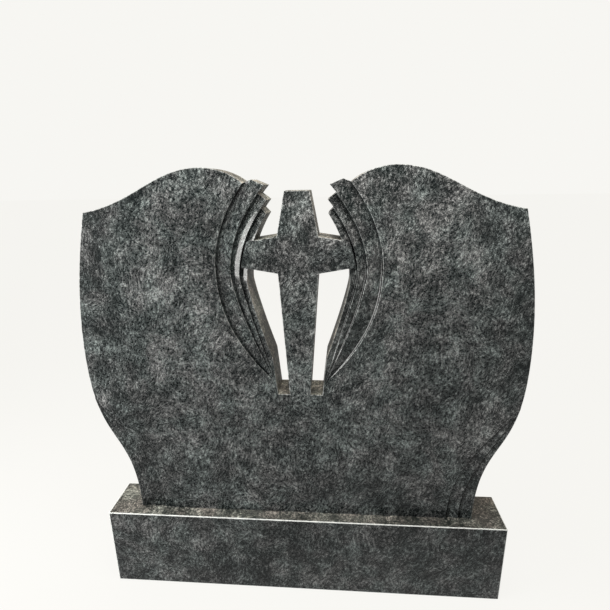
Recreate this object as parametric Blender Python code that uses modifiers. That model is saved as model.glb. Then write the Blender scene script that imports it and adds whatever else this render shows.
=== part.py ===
"""Polished granite headstone: a winged upright slab with a pierced cross, on a plain base block.

Metres, +Z up. The carved front faces -Y, and the origin is the middle of the base's underside.
The slab's own sizes are half widths from its centre line and heights above the base's top.
"""
import bmesh
import bpy
from math import pi
from mathutils import Matrix, Vector
from mathutils.geometry import interpolate_bezier

# Base block
BASE_LENGTH = 1.000
BASE_DEPTH = 0.115
BASE_HEIGHT = 0.217
BASE_ARRIS = 0.002

# Slab, and how it sits on the base
SLAB_THICKNESS = 0.080
SLAB_SETBACK = 0.030
SLAB_ARRIS = 0.0012
JOINT_GAP = 0.0003

# Flank of the slab: foot, widest place and outer shoulder corner
FOOT_HALF_WIDTH = 0.4225
BULGE_HALF_WIDTH = 0.5125
BULGE_HEIGHT = 0.418
SHOULDER_HALF_WIDTH = 0.4648
SHOULDER_HEIGHT = 0.757
FOOT_RISE = 0.235
BULGE_DROP = 0.245
BULGE_RISE = 0.130
SHOULDER_LEAN = 0.26
SHOULDER_DROP = 0.100

# Crest of each wing
CREST_OFFSET = 0.203
CREST_HEIGHT = 0.846
SHOULDER_REACH = 0.118
SHOULDER_SWEEP = 0.019
CREST_OUTER_REACH = 0.097
CREST_INNER_REACH = 0.040
NOTCH_REACH = 0.017
NOTCH_LIFT = 0.016

# Cross, of one stone with the wings
CROSS_HEIGHT = 0.7975
LIMB_TOP_HALF_WIDTH = 0.0263
CROSSING_HALF_WIDTH = 0.0442
SHAFT_FOOT_HALF_WIDTH = 0.0242
ARM_TOP_HEIGHT = 0.703
ARM_THICKNESS = 0.080
ARM_TOP_SLOPE = 0.155
ARM_UNDER_SLOPE = 0.170

# Windows beside the shaft
SILL_HEIGHT = 0.3335
SILL_WIDTH = 0.028
SLOT_CORNER_OFFSET = 0.062
SLOT_CORNER_RISE = 0.0915

# Carved lines of a wing, from the body inwards to the wing's inner edge
INNER_BELLY_OFFSET = 0.1125
INNER_BELLY_HEIGHT = 0.602
BAND_WIDTHS = (0.0330, 0.0200, 0.0175)
BELLY_STEP = 0.010
LINE_TOPS = ((0.1130, 0.8140), (0.0822, 0.7928), (0.0768, 0.7623), (0.0656, 0.7508))
LINE_LOWER_POWERS = (2.2, 1.35, 1.15, 1.2)
ROOT_RISE = 0.0325
ROOT_STEP = 0.0014
UPPER_POWER = 2.0

# Square-cut ends of the three bands
FIRST_END_PEAK = (0.0953, 0.8208)
FIRST_TIP_HEIGHT = 0.8095
SECOND_TIP_HEIGHT = 0.7792

# Depth of each band's dip behind the front face, at its top end and at its root
DIP_DEPTHS = (0.008, 0.014, 0.016)
ROOT_DEPTHS = (0.006, 0.0025, 0.002)
DIP_WIDTHS = (0.0062, 0.0080, 0.0060)
ROOT_WIDTHS = (0.0062, 0.0030, 0.0025)
EDGE_DEPTHS = (0.0, 0.003, 0.005)
RIDGE_DEPTH = 0.0004
DIP_SHARE = 0.5
DIP_POWER = 1.5
EDGE_POWER = 3.0
ROOT_FADE = 0.2
ROOT_FADE_REACH = 0.25

# Two carved lines at the foot of each flank
FLANK_LINE_INSETS = (0.0635, 0.0340)
FLANK_LINE_RISES = (0.160, 0.140)
FLANK_TURN_INSETS = (0.0625, 0.0495)
FLANK_TURN_HEIGHTS = (0.225, 0.205)
FLANK_MEET_HEIGHT = 0.310
FLANK_DIP_DEPTH = 0.005
FLANK_DIP_WIDTH = 0.004
FLANK_FADE_POWER = 0.5

# How far cutters stand clear of the stone, and how finely curves are followed
CUT_CLEAR = 0.010
OVERRUN = 0.005
LIFT_OFF = 0.0006
WELD = 0.00001
MEET_PASSES = 12
CURVE_STEPS = 22
BAND_STEPS = 26
FLANK_STEPS = 16
KEEPER_STEPS = 6

GRANITE = (0.075, 0.084, 0.085, 1.0)
GRANITE_ROUGHNESS = 0.18

SLAB_FRONT = SLAB_SETBACK - BASE_DEPTH / 2
SLAB_FOOT = BASE_HEIGHT + JOINT_GAP
ARM_UNDER_HEIGHT = ARM_TOP_HEIGHT - ARM_THICKNESS
ROOT_HEIGHT = SILL_HEIGHT + ROOT_RISE
ROOT_LIFT = max(ROOT_DEPTHS) * ROOT_FADE + LIFT_OFF


def clear_scene():
    """Remove whatever the file holds."""
    for item in list(bpy.data.objects):
        bpy.data.objects.remove(item, do_unlink=True)


def make_collection(name):
    """Make a collection and link it to the scene."""
    collection = bpy.data.collections.new(name)
    bpy.context.scene.collection.children.link(collection)
    return collection


def granite(name):
    """A polished dark granite."""
    material = bpy.data.materials.new(name)
    material.use_nodes = True
    shader = material.node_tree.nodes["Principled BSDF"]
    shader.inputs["Base Color"].default_value = GRANITE
    shader.inputs["Roughness"].default_value = GRANITE_ROUGHNESS
    shader.inputs["Metallic"].default_value = 0.0
    return material


def bezier(start, start_handle, end_handle, end, steps=CURVE_STEPS):
    """Points along one curved stretch, both ends included."""
    knots = [Vector(point) for point in (start, start_handle, end_handle, end)]
    return [tuple(point) for point in interpolate_bezier(*knots, steps + 1)]


def slot_wall(height):
    """Offset of the slot's straight outer wall."""
    foot = SHAFT_FOOT_HALF_WIDTH + SILL_WIDTH
    slope = (SLOT_CORNER_OFFSET - foot) / SLOT_CORNER_RISE
    return foot + (height - SILL_HEIGHT) * slope


def belly(line):
    """Offset and height of a line's widest place; line 0 is the outermost."""
    steps = len(BAND_WIDTHS) - line
    return INNER_BELLY_OFFSET + sum(BAND_WIDTHS[line:]), INNER_BELLY_HEIGHT + steps * BELLY_STEP


def line_offset(line, height):
    """Offset of a carved line: half a parabola above its belly, a power curve below it."""
    widest, middle = belly(line)
    top_offset, top_height = LINE_TOPS[line]
    inner = line == len(BAND_WIDTHS)
    if height > middle:
        share = (height - middle) / (top_height - middle)
        return widest - (widest - top_offset) * share ** UPPER_POWER
    if inner:
        root_offset, root_height = SLOT_CORNER_OFFSET, SILL_HEIGHT + SLOT_CORNER_RISE
    else:
        spare = (len(BAND_WIDTHS) - line) * ROOT_STEP
        root_offset, root_height = slot_wall(ROOT_HEIGHT) + spare, ROOT_HEIGHT
    if inner and height < root_height:
        return slot_wall(height)
    share = (middle - height) / (middle - root_height)
    return widest - (widest - root_offset) * share ** LINE_LOWER_POWERS[line]


def line_stretch(line, low, high, steps=CURVE_STEPS):
    """Points of a carved line from one height to another."""
    heights = [low + (high - low) * step / steps for step in range(steps + 1)]
    return [(line_offset(line, height), height) for height in heights]


def arm_top(offset):
    """Height of the arm's upper edge, which falls away from the crossing."""
    return ARM_TOP_HEIGHT - (offset - CROSSING_HALF_WIDTH) * ARM_TOP_SLOPE


def arm_under(offset):
    """Height of the arm's lower edge, which rises away from the crossing."""
    return ARM_UNDER_HEIGHT + (offset - CROSSING_HALF_WIDTH) * ARM_UNDER_SLOPE


def meet_inner_edge(edge):
    """Height at which an edge of the arm meets the wing's inner edge."""
    offset = INNER_BELLY_OFFSET
    for _ in range(MEET_PASSES):
        offset = line_offset(len(BAND_WIDTHS), edge(offset))
    return edge(offset)


def flank_edge(steps=CURVE_STEPS):
    """The slab's outer edge from its foot up to the shoulder corner."""
    foot = (FOOT_HALF_WIDTH, 0.0)
    bulge = (BULGE_HALF_WIDTH, BULGE_HEIGHT)
    shoulder = (SHOULDER_HALF_WIDTH, SHOULDER_HEIGHT)
    lean = SHOULDER_DROP * SHOULDER_LEAN
    lower = bezier(foot, (foot[0], FOOT_RISE), (bulge[0], bulge[1] - BULGE_DROP), bulge, steps)
    upper_handle = (shoulder[0] + lean, shoulder[1] - SHOULDER_DROP)
    upper = bezier(bulge, (bulge[0], bulge[1] + BULGE_RISE), upper_handle, shoulder, steps)
    return lower + upper[1:]


def crest_edge():
    """The wing's top, from the shoulder corner over the crest down to the first notch."""
    shoulder = (SHOULDER_HALF_WIDTH, SHOULDER_HEIGHT)
    crest = (CREST_OFFSET, CREST_HEIGHT)
    notch = LINE_TOPS[0]
    shoulder_handle = (shoulder[0] - SHOULDER_REACH, shoulder[1] + SHOULDER_SWEEP)
    outer = bezier(shoulder, shoulder_handle, (crest[0] + CREST_OUTER_REACH, crest[1]), crest)
    notch_handle = (notch[0] + NOTCH_REACH, notch[1] + NOTCH_LIFT)
    inner = bezier(crest, (crest[0] - CREST_INNER_REACH, crest[1]), notch_handle, notch)
    return outer[1:] + inner[1:]


def band_ends():
    """The stepped square-cut ends of the bands, from the first notch down to the last tip."""
    points = [FIRST_END_PEAK]
    points += line_stretch(1, FIRST_TIP_HEIGHT, LINE_TOPS[1][1], 2)
    points += line_stretch(2, SECOND_TIP_HEIGHT, LINE_TOPS[2][1], 2)
    return points


def half_outline():
    """Right half of the slab's outer outline, from the foot to the top of the cross."""
    meeting = meet_inner_edge(arm_top)
    points = flank_edge() + crest_edge() + band_ends()
    points += reversed(line_stretch(len(BAND_WIDTHS), meeting, LINE_TOPS[-1][1]))
    points.append((CROSSING_HALF_WIDTH, ARM_TOP_HEIGHT))
    points.append((LIMB_TOP_HALF_WIDTH, CROSS_HEIGHT))
    return points


def window_outline():
    """The right window: sill, slot wall, sweeping inner edge, underside of the arm, shaft."""
    corner = SILL_HEIGHT + SLOT_CORNER_RISE
    points = [(SHAFT_FOOT_HALF_WIDTH, SILL_HEIGHT), (slot_wall(SILL_HEIGHT), SILL_HEIGHT)]
    points += line_stretch(len(BAND_WIDTHS), corner, meet_inner_edge(arm_under))
    points.append((CROSSING_HALF_WIDTH, ARM_UNDER_HEIGHT))
    return points


def mirrored(points):
    """The same points on the other side of the centre line, in reverse order."""
    return [(-x, z) for x, z in reversed(points)]


def prism(name, outlines, thickness, arris, collection):
    """Flat outlines in XZ, filled and thickened evenly about Y = 0, with chamfered edges."""
    flat = bpy.data.curves.new(name, "CURVE")
    flat.dimensions = "2D"
    flat.fill_mode = "BOTH"
    flat.extrude = thickness / 2 - arris
    flat.bevel_depth = arris
    flat.bevel_resolution = 0
    flat.offset = -arris
    for outline in outlines:
        spline = flat.splines.new("POLY")
        spline.points.add(len(outline) - 1)
        for point, (x, z) in zip(spline.points, outline):
            point.co = (x, z, 0.0, 1.0)
        spline.use_cyclic_u = True
    drawn = bpy.data.objects.new(name, flat)
    drawn.rotation_euler = (pi / 2, 0.0, 0.0)
    collection.objects.link(drawn)
    bpy.context.view_layer.update()
    evaluated = drawn.evaluated_get(bpy.context.evaluated_depsgraph_get())
    mesh = bpy.data.meshes.new_from_object(evaluated)
    place = drawn.matrix_world.copy()
    bpy.data.objects.remove(drawn, do_unlink=True)
    bm = bmesh.new()
    bm.from_mesh(mesh)
    bmesh.ops.remove_doubles(bm, verts=bm.verts, dist=WELD)
    bmesh.ops.recalc_face_normals(bm, faces=bm.faces)
    bm.to_mesh(mesh)
    bm.free()
    solid = bpy.data.objects.new(name, mesh)
    solid.matrix_world = place
    collection.objects.link(solid)
    return solid


def loft(name, rings, collection):
    """A closed solid through rings that each have the same number of points."""
    bm = bmesh.new()
    rows = [[bm.verts.new(point) for point in ring] for ring in rings]
    count = len(rows[0])
    for lower, upper in zip(rows, rows[1:]):
        for side in range(count):
            after = (side + 1) % count
            bm.faces.new((lower[side], lower[after], upper[after], upper[side]))
    bm.faces.new(rows[0])
    bm.faces.new(rows[-1])
    bmesh.ops.recalc_face_normals(bm, faces=bm.faces)
    mesh = bpy.data.meshes.new(name)
    bm.to_mesh(mesh)
    bm.free()
    solid = bpy.data.objects.new(name, mesh)
    collection.objects.link(solid)
    return solid


def as_cutter(item):
    """Show a cutter as wire only."""
    item.display_type = "WIRE"
    item.hide_render = True
    return item


def cut(item, cutter):
    """Take a cutter away from an item."""
    modifier = item.modifiers.new("Cut " + cutter.name, "BOOLEAN")
    modifier.operation = "DIFFERENCE"
    modifier.solver = "EXACT"
    modifier.object = cutter


def front_point(side, offset, depth, height):
    """A world point from its side, offset, depth behind the slab's front face and height."""
    return Vector((side * offset, SLAB_FRONT + depth, SLAB_FOOT + height))


def blend(low, high, share):
    """A value between two others."""
    return low + (high - low) * share


def band_lines(height):
    """Offsets of the carved lines at a height, each held past its upper end and kept in order."""
    ends = (LINE_TOPS[0][1], FIRST_TIP_HEIGHT, SECOND_TIP_HEIGHT, LINE_TOPS[-1][1])
    lines = []
    for line, end in enumerate(ends):
        offset = line_offset(line, min(height, end))
        lines.append(min([offset] + [outer - ROOT_STEP for outer in lines[-1:]]))
    return lines


def band_share(height):
    """How far up the bands a height lies, from 0 at their roots to 1 at the first peak."""
    return max(0.0, min(1.0, (height - ROOT_HEIGHT) / (FIRST_END_PEAK[1] - ROOT_HEIGHT)))


def dip_width(band, height):
    """Width of the steep side of a band's dip, at most DIP_SHARE of the band."""
    lines = band_lines(height)
    width = blend(ROOT_WIDTHS[band], DIP_WIDTHS[band], band_share(height))
    return min(width, (lines[band] - lines[band + 1]) * DIP_SHARE)


def band_profile(height, fade):
    """Section across the three bands: offsets with depths, from the body to past the inner edge."""
    lines = band_lines(height)
    share = band_share(height)
    profile = []
    for band in range(len(BAND_WIDTHS)):
        width = dip_width(band, height)
        depth = blend(ROOT_DEPTHS[band], DIP_DEPTHS[band], share ** DIP_POWER) * fade
        if band == 0:
            profile.append((lines[band] + width * LIFT_OFF / depth, -LIFT_OFF))
        profile.append((lines[band] - width, depth))
        profile.append((lines[band + 1], RIDGE_DEPTH + EDGE_DEPTHS[band] * share ** EDGE_POWER))
    profile.append((lines[-1] - CUT_CLEAR, profile[-1][1]))
    return profile


def band_cutter(side, collection):
    """What is carved away over the three bands of one wing."""
    high = FIRST_END_PEAK[1] + OVERRUN
    rings = []
    for step in range(BAND_STEPS + 1):
        climb = step / BAND_STEPS
        height = blend(ROOT_HEIGHT, high, climb)
        fade = min(1.0, ROOT_FADE + climb / ROOT_FADE_REACH)
        lifted = ROOT_LIFT if step == 0 else 0.0
        profile = band_profile(height, fade)
        ring = [front_point(side, offset, depth - lifted, height) for offset, depth in profile]
        ring.append(front_point(side, profile[-1][0], -CUT_CLEAR, height))
        ring.append(front_point(side, profile[0][0], -CUT_CLEAR, height))
        rings.append(ring)
    name = "band cutter right" if side > 0 else "band cutter left"
    return as_cutter(loft(name, rings, collection))


def arm_keeper(side, collection):
    """The arm's end, which stays level with the front face as far as the third line's dip."""
    last = len(BAND_WIDTHS) - 1
    low = arm_under(belly(last)[0])
    high = arm_top(belly(last)[0])
    # It runs past the arm's edges and past the cutter's front, so that no two faces coincide
    thickness = SLAB_THICKNESS + 2 * (CUT_CLEAR + OVERRUN)
    points = [(CROSSING_HALF_WIDTH, ARM_UNDER_HEIGHT - OVERRUN)]
    for step in range(KEEPER_STEPS + 1):
        height = blend(low, high, step / KEEPER_STEPS)
        points.append((line_offset(last, height) - dip_width(last, height), height))
    points.append((CROSSING_HALF_WIDTH, ARM_TOP_HEIGHT + OVERRUN))
    if side < 0:
        points = mirrored(points)
    name = "arm keeper right" if side > 0 else "arm keeper left"
    keeper = prism(name, [points], thickness, 0.0, collection)
    place_in_slab(keeper)
    return as_cutter(keeper)


def flank_line(index):
    """Points of a carved line at the flank's foot, up to where it meets the outer edge."""
    foot = FOOT_HALF_WIDTH - FLANK_LINE_INSETS[index]
    turn = (BULGE_HALF_WIDTH - FLANK_TURN_INSETS[index], FLANK_TURN_HEIGHTS[index])
    meet = (offset_on(flank_edge(), FLANK_MEET_HEIGHT), FLANK_MEET_HEIGHT)
    return bezier((foot, 0.0), (foot, FLANK_LINE_RISES[index]), turn, meet, FLANK_STEPS)


def offset_on(points, height):
    """Offset of a rising line of points at a height, held past its ends."""
    if height <= points[0][1]:
        return points[0][0]
    for (low_offset, low), (high_offset, high) in zip(points, points[1:]):
        if low <= height <= high:
            return blend(low_offset, high_offset, (height - low) / (high - low))
    return points[-1][0]


def flank_cutter(side, collection):
    """What is carved away over the two bands at the foot of one flank."""
    edge = flank_edge()
    lines = [flank_line(0), flank_line(1)]
    rings = []
    for step in range(FLANK_STEPS + 2):
        height = -CUT_CLEAR if step == 0 else FLANK_MEET_HEIGHT * (step - 1) / FLANK_STEPS
        share = 1.0 - max(0.0, height) / FLANK_MEET_HEIGHT
        outer = offset_on(edge, height)
        first = offset_on(lines[0], height)
        second = max(first, min(offset_on(lines[1], height), outer))
        depth = FLANK_DIP_DEPTH * blend(ROOT_FADE, 1.0, share ** FLANK_FADE_POWER)
        lifted = FLANK_DIP_DEPTH if step == FLANK_STEPS + 1 else 0.0
        # Near the meeting place the bands close up, so each next point steps out by one spread
        spread = LIFT_OFF * (1.0 - share)
        steep = min(FLANK_DIP_WIDTH, (second - first) * DIP_SHARE) + spread
        outer_steep = min(FLANK_DIP_WIDTH, (outer - second) * DIP_SHARE)
        dips = [(first + steep, depth), (second, RIDGE_DEPTH)]
        dips += [(second + outer_steep, depth), (outer, RIDGE_DEPTH)]
        profile = [(first - steep * LIFT_OFF / depth, -LIFT_OFF), dips[0]]
        profile += [(offset + rank * spread, dip) for rank, (offset, dip) in enumerate(dips[1:], 2)]
        profile.append((outer + CUT_CLEAR, RIDGE_DEPTH))
        ring = [front_point(side, offset, dip - lifted, height) for offset, dip in profile]
        ring.append(front_point(side, profile[-1][0], -CUT_CLEAR, height))
        ring.append(front_point(side, profile[0][0], -CUT_CLEAR, height))
        rings.append(ring)
    name = "flank cutter right" if side > 0 else "flank cutter left"
    return as_cutter(loft(name, rings, collection))


def place_in_slab(item):
    """Move a prism drawn about Y = 0 to the slab's place."""
    middle = SLAB_FRONT + SLAB_THICKNESS / 2
    item.matrix_world = Matrix.Translation((0.0, middle, SLAB_FOOT)) @ item.matrix_world


def make_slab(parts, cutters):
    """The upright slab with its wings, cross, windows and carved bands, in one piece."""
    half = half_outline()
    window = window_outline()
    outlines = [half + mirrored(half), window, mirrored(window)]
    slab = prism("slab", outlines, SLAB_THICKNESS, SLAB_ARRIS, parts)
    place_in_slab(slab)
    for side in (1, -1):
        bands = band_cutter(side, cutters)
        cut(bands, arm_keeper(side, cutters))
        cut(slab, bands)
        cut(slab, flank_cutter(side, cutters))
    slab.data.materials.append(granite("slab granite"))
    return slab


def make_base(parts):
    """The plain base block under the slab."""
    mesh = bpy.data.meshes.new("base")
    bm = bmesh.new()
    bmesh.ops.create_cube(bm, size=1.0)
    bmesh.ops.scale(bm, vec=(BASE_LENGTH, BASE_DEPTH, BASE_HEIGHT), verts=bm.verts)
    bm.to_mesh(mesh)
    bm.free()
    base = bpy.data.objects.new("base", mesh)
    base.location = (0.0, 0.0, BASE_HEIGHT / 2)
    parts.objects.link(base)
    arris = base.modifiers.new("Arris", "BEVEL")
    arris.width = BASE_ARRIS
    arris.segments = 1
    base.data.materials.append(granite("base granite"))
    return base


def main():
    clear_scene()
    parts = make_collection("headstone")
    cutters = make_collection("cutters")
    make_base(parts)
    make_slab(parts, cutters)


main()
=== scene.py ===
"""Polished granite headstone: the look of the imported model, laid out as a Blender add-on.

Metres, +Z up. The carved front faces -Y, and the origin is the middle of the base's underside.
"""
from math import pi

import bmesh
import bpy
import numpy as np
from bpy.props import FloatProperty, FloatVectorProperty, PointerProperty
from mathutils import Matrix, Vector


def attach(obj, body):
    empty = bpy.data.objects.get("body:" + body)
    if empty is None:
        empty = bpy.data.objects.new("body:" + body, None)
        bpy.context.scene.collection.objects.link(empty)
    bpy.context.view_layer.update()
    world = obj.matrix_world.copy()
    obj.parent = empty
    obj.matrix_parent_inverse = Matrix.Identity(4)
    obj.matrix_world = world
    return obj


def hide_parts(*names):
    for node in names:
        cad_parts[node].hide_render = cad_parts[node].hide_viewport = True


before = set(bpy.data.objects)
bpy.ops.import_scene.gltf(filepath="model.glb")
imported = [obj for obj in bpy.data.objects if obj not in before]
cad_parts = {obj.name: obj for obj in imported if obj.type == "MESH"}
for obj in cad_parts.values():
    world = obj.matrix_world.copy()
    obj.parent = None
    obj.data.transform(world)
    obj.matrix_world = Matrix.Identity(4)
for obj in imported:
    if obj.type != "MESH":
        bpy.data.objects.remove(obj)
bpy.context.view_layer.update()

bl_info = {
    "name": "Granite headstone",
    "version": (1, 0, 0),
    "blender": (4, 5, 0),
    "location": "View3D > Sidebar > Headstone",
    "description": "Builds a polished granite headstone with a pierced cross, and its stage",
    "category": "Object",
}

IMAGE_SIZE = 610

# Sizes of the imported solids, in metres: half widths from the slab's centre line, and heights
# above the base's top
BASE_LENGTH = 1.000
BASE_DEPTH = 0.115
BASE_HEIGHT = 0.217
BASE_ARRIS = 0.002
SLAB_THICKNESS = 0.080
SLAB_SETBACK = 0.030
SLAB_ARRIS = 0.0012
BAND_ARRIS = 0.0005
BAND_ARRIS_SHARE = 0.3
JOINT_GAP = 0.0003
SLAB_FRONT = SLAB_SETBACK - BASE_DEPTH / 2
SLAB_FOOT = BASE_HEIGHT + JOINT_GAP

# Flank and crest
FOOT_HALF_WIDTH = 0.4225
BULGE_HALF_WIDTH = 0.5125
BULGE_HEIGHT = 0.418
SHOULDER_HALF_WIDTH = 0.4648
SHOULDER_HEIGHT = 0.757
FOOT_RISE = 0.235
BULGE_DROP = 0.245
BULGE_RISE = 0.130
SHOULDER_LEAN = 0.26
SHOULDER_DROP = 0.100
CREST_OFFSET = 0.203
CREST_HEIGHT = 0.846
SHOULDER_REACH = 0.118
SHOULDER_SWEEP = 0.019
CREST_OUTER_REACH = 0.097
CREST_INNER_REACH = 0.040
NOTCH_REACH = 0.017
NOTCH_LIFT = 0.016

# Cross and windows
CROSS_HEIGHT = 0.7975
LIMB_TOP_HALF_WIDTH = 0.0263
CROSSING_HALF_WIDTH = 0.0442
SHAFT_FOOT_HALF_WIDTH = 0.0242
ARM_TOP_HEIGHT = 0.703
ARM_THICKNESS = 0.080
ARM_TOP_SLOPE = 0.155
ARM_UNDER_SLOPE = 0.170
ARM_UNDER_HEIGHT = ARM_TOP_HEIGHT - ARM_THICKNESS
SILL_HEIGHT = 0.3335
SILL_WIDTH = 0.028
SLOT_FOOT_OFFSET = SHAFT_FOOT_HALF_WIDTH + SILL_WIDTH
SLOT_CORNER_OFFSET = 0.062
SLOT_CORNER_RISE = 0.0915

# Carved lines of a wing, from the body inwards, and the dips behind them
INNER_BELLY_OFFSET = 0.1125
INNER_BELLY_HEIGHT = 0.602
BAND_WIDTHS = (0.0330, 0.0200, 0.0175)
BELLY_STEP = 0.010
LINE_TOPS = ((0.1130, 0.8140), (0.0822, 0.7928), (0.0768, 0.7623), (0.0656, 0.7508))
LINE_LOWER_POWERS = (2.2, 1.35, 1.15, 1.2)
ROOT_RISE = 0.0325
ROOT_HEIGHT = SILL_HEIGHT + ROOT_RISE
ROOT_STEP = 0.0014
UPPER_POWER = 2.0
FIRST_END_PEAK = (0.0953, 0.8208)
FIRST_TIP_HEIGHT = 0.8095
SECOND_TIP_HEIGHT = 0.7792
LINE_ENDS = (LINE_TOPS[0][1], FIRST_TIP_HEIGHT, SECOND_TIP_HEIGHT, LINE_TOPS[3][1])
DIP_DEPTHS = (0.008, 0.014, 0.016)
ROOT_DEPTHS = (0.006, 0.0025, 0.002)
DIP_WIDTHS = (0.0062, 0.0080, 0.0060)
ROOT_WIDTHS = (0.0062, 0.0030, 0.0025)
EDGE_DEPTHS = (0.0, 0.003, 0.005)
RIDGE_DEPTH = 0.0004
DIP_SHARE = 0.5
DIP_POWER = 1.5
EDGE_POWER = 3.0
ROOT_FADE = 0.2
ROOT_FADE_REACH = 0.25
START_REACH = 0.04

# Two carved lines at the foot of each flank
FLANK_LINE_INSETS = (0.0635, 0.0340)
FLANK_LINE_RISES = (0.160, 0.140)
FLANK_TURN_INSETS = (0.0625, 0.0495)
FLANK_TURN_HEIGHTS = (0.225, 0.205)
FLANK_MEET_HEIGHT = 0.310
FLANK_DIP_DEPTH = 0.005
FLANK_DIP_WIDTH = 0.004
FLANK_FADE_POWER = 0.5

# How finely the surfaces are followed
CURVE_STEPS = 48
BODY_STEPS = 48
SILL_STEPS = 4
SLOT_STEPS = 6
SHAFT_STEPS = 12
LIMB_STEPS = 6
ROW_COUNTS = (60, 12, 14, 8, 6)
ARRIS_STEPS = 3
STEEP_SHARES = (0.0, 0.15, 0.32, 0.52, 0.75, 1.0)
SLOPE_SHARES = (0.0, 0.25, 0.5, 0.75, 1.0)
CORE_SHARES = (0.0, 0.33, 0.67, 1.0)
PLANE_SHARES = tuple(share / 12 for share in range(13))
ARM_SHARES = (0.0, 0.25, 0.5, 0.75, 0.95, 1.0)
MEET_PASSES = 16

# When two points count as one, how far a mitre may reach, and from where a bend is a corner
SAME_POINT = 1e-6
WELD = 1e-5
MITRE_LIMIT = 0.4
CORNER_COSINE = 0.93

# Where the rows of the bands' ends lie, as shares of the way from the arm's top to the tips
FIRST_END_SHARES = (0.62, 0.84)
SECOND_LINE_SHARE = 0.75
SECOND_DIP_SHARE = 0.8

# Places of the five tones on the granite's ramp, and how detailed and rough each noise is
TONE_STOPS = (0.0, 0.28, 0.5, 0.72, 1.0)
WISP_NOISE = (3.0, 0.65)
THREAD_NOISE = (2.0, 0.6)
SPECKLE_NOISE = (1.0, 0.6)
CLOUD_NOISE = (3.0, 0.55)
TINT_CONTRAST = 4.0
ARRIS_CONTRAST = 1.5
WHITE = (1.0, 1.0, 1.0, 1.0)

# The camera's sensor in millimetres, and how far it sees
SENSOR_WIDTH = 36.0
VIEW_END = 200.0

# Marks: how much of a light arris (honed edge and painted highlight), of a groove's painted shade
# and of a cut side's honed tone with painted warm light a place has
NO_MARKS = (0.0, 0.0, 0.0)
# Arrises and carved lines get a light line: a lighter honed edge, and a painted highlight
ARRIS_HONE_AND_PAINTED_HIGHLIGHT = (1.0, 0.0, 0.0)
LINE_HONE_AND_PAINTED_HIGHLIGHT = (0.8, 0.0, 0.0)
# Painted shade: the steep sides of the grooves are darkened, and their slopes faintly
STEEP_PAINTED_SHADE = (0.0, 1.0, 0.0)
SLOPE_FAINT_PAINTED_SHADE = (0.0, 0.08, 0.0)
# Cut sides, and at half strength the back and the base's top, are lighter as honed stone and warmer
# with painted warm light from above
SIDE_HONE_AND_PAINTED_WARM_LIGHT = (0.0, 0.0, 1.0)
BACK_HALF_HONE_AND_PAINTED_WARM_LIGHT = (0.0, 0.0, 0.5)
TOP_HALF_HONE_AND_PAINTED_WARM_LIGHT = (0.0, 0.0, 0.5)


class Value:
    """A socket that carries one number; the usual operators on it add Math nodes."""

    def __init__(self, tree, socket):
        self.tree = tree
        self.socket = socket

    def math(self, operation, *others, clamp=False):
        """The result of one Math node on this value and the others."""
        node = self.tree.nodes.new("ShaderNodeMath")
        node.operation = operation
        node.use_clamp = clamp
        for slot, item in zip(node.inputs, (self, *others)):
            if isinstance(item, Value):
                self.tree.links.new(item.socket, slot)
            else:
                slot.default_value = item
        return Value(self.tree, node.outputs[0])

    def __add__(self, other):
        return self.math("ADD", other)

    __radd__ = __add__

    def __sub__(self, other):
        return self.math("SUBTRACT", other)

    def __rsub__(self, other):
        return (self * -1.0) + other

    def __mul__(self, other):
        return self.math("MULTIPLY", other)

    __rmul__ = __mul__

    def __truediv__(self, other):
        return self.math("DIVIDE", other)

    def __abs__(self):
        return self.math("ABSOLUTE")

    def clamped(self):
        """The value held between 0 and 1."""
        return self.math("ADD", 0.0, clamp=True)


class Recipe:
    """The nodes of one material."""

    def __init__(self, name):
        self.material = bpy.data.materials.new(name)
        self.material.use_nodes = True
        self.tree = self.material.node_tree
        self.shader = self.tree.nodes["Principled BSDF"]

    @classmethod
    def of_tree(cls, tree):
        """A recipe that works in a node tree that is already there, such as a world's."""
        recipe = cls.__new__(cls)
        recipe.tree = tree
        return recipe

    def feed(self, slot, item):
        """Link or set one input socket."""
        socket = item.socket if isinstance(item, Value) else item
        if isinstance(socket, bpy.types.NodeSocket):
            self.tree.links.new(socket, slot)
        else:
            slot.default_value = socket

    def node(self, kind, settings=None, inputs=None):
        """A node of a type, with its settings made first and its sockets fed after."""
        node = self.tree.nodes.new("ShaderNode" + kind)
        for key, item in (settings or {}).items():
            if key == "stops":
                ramp = node.color_ramp
                while len(ramp.elements) < len(item):
                    ramp.elements.new(1.0)
                for element, (place, colour) in zip(ramp.elements, item):
                    element.position = place
                    element.color = (*colour, 1.0)
            else:
                setattr(node, key, item)
        for key, item in (inputs or {}).items():
            self.feed(node.inputs[key], item)
        return node

    def noise(self, place, scale, detail=2.0, roughness=0.5, output="Fac"):
        """Noise over a place; its number, or its colour as three numbers."""
        inputs = {"Vector": place, "Scale": scale, "Detail": detail, "Roughness": roughness}
        node = self.node("TexNoise", {"noise_dimensions": "3D"}, inputs)
        socket = node.outputs[output]
        return Value(self.tree, socket) if output == "Fac" else socket

    def shifted(self, place, scale, reach):
        """A place moved by up to about half a reach along slow noise."""
        drift = self.noise(place, scale, output="Color")
        middle = (0.5, 0.5, 0.5)
        centred = self.node("VectorMath", {"operation": "SUBTRACT"}, {0: drift, 1: middle})
        grown = self.node("VectorMath", {"operation": "SCALE"},
                          {0: centred.outputs[0], "Scale": reach})
        shifted = self.node("VectorMath", {"operation": "ADD"}, {0: place, 1: grown.outputs[0]})
        return shifted.outputs[0]

    def parts(self, vector):
        """The three numbers of a vector."""
        node = self.node("SeparateXYZ", inputs={0: vector})
        return [Value(self.tree, socket) for socket in node.outputs]

    def mixed(self, share, first, second, kind="MIX"):
        """Two colours mixed by a share."""
        settings = {"data_type": "RGBA", "blend_type": kind}
        node = self.node("Mix", settings, {0: share, 6: first, 7: second})
        return node.outputs[2]


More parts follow.
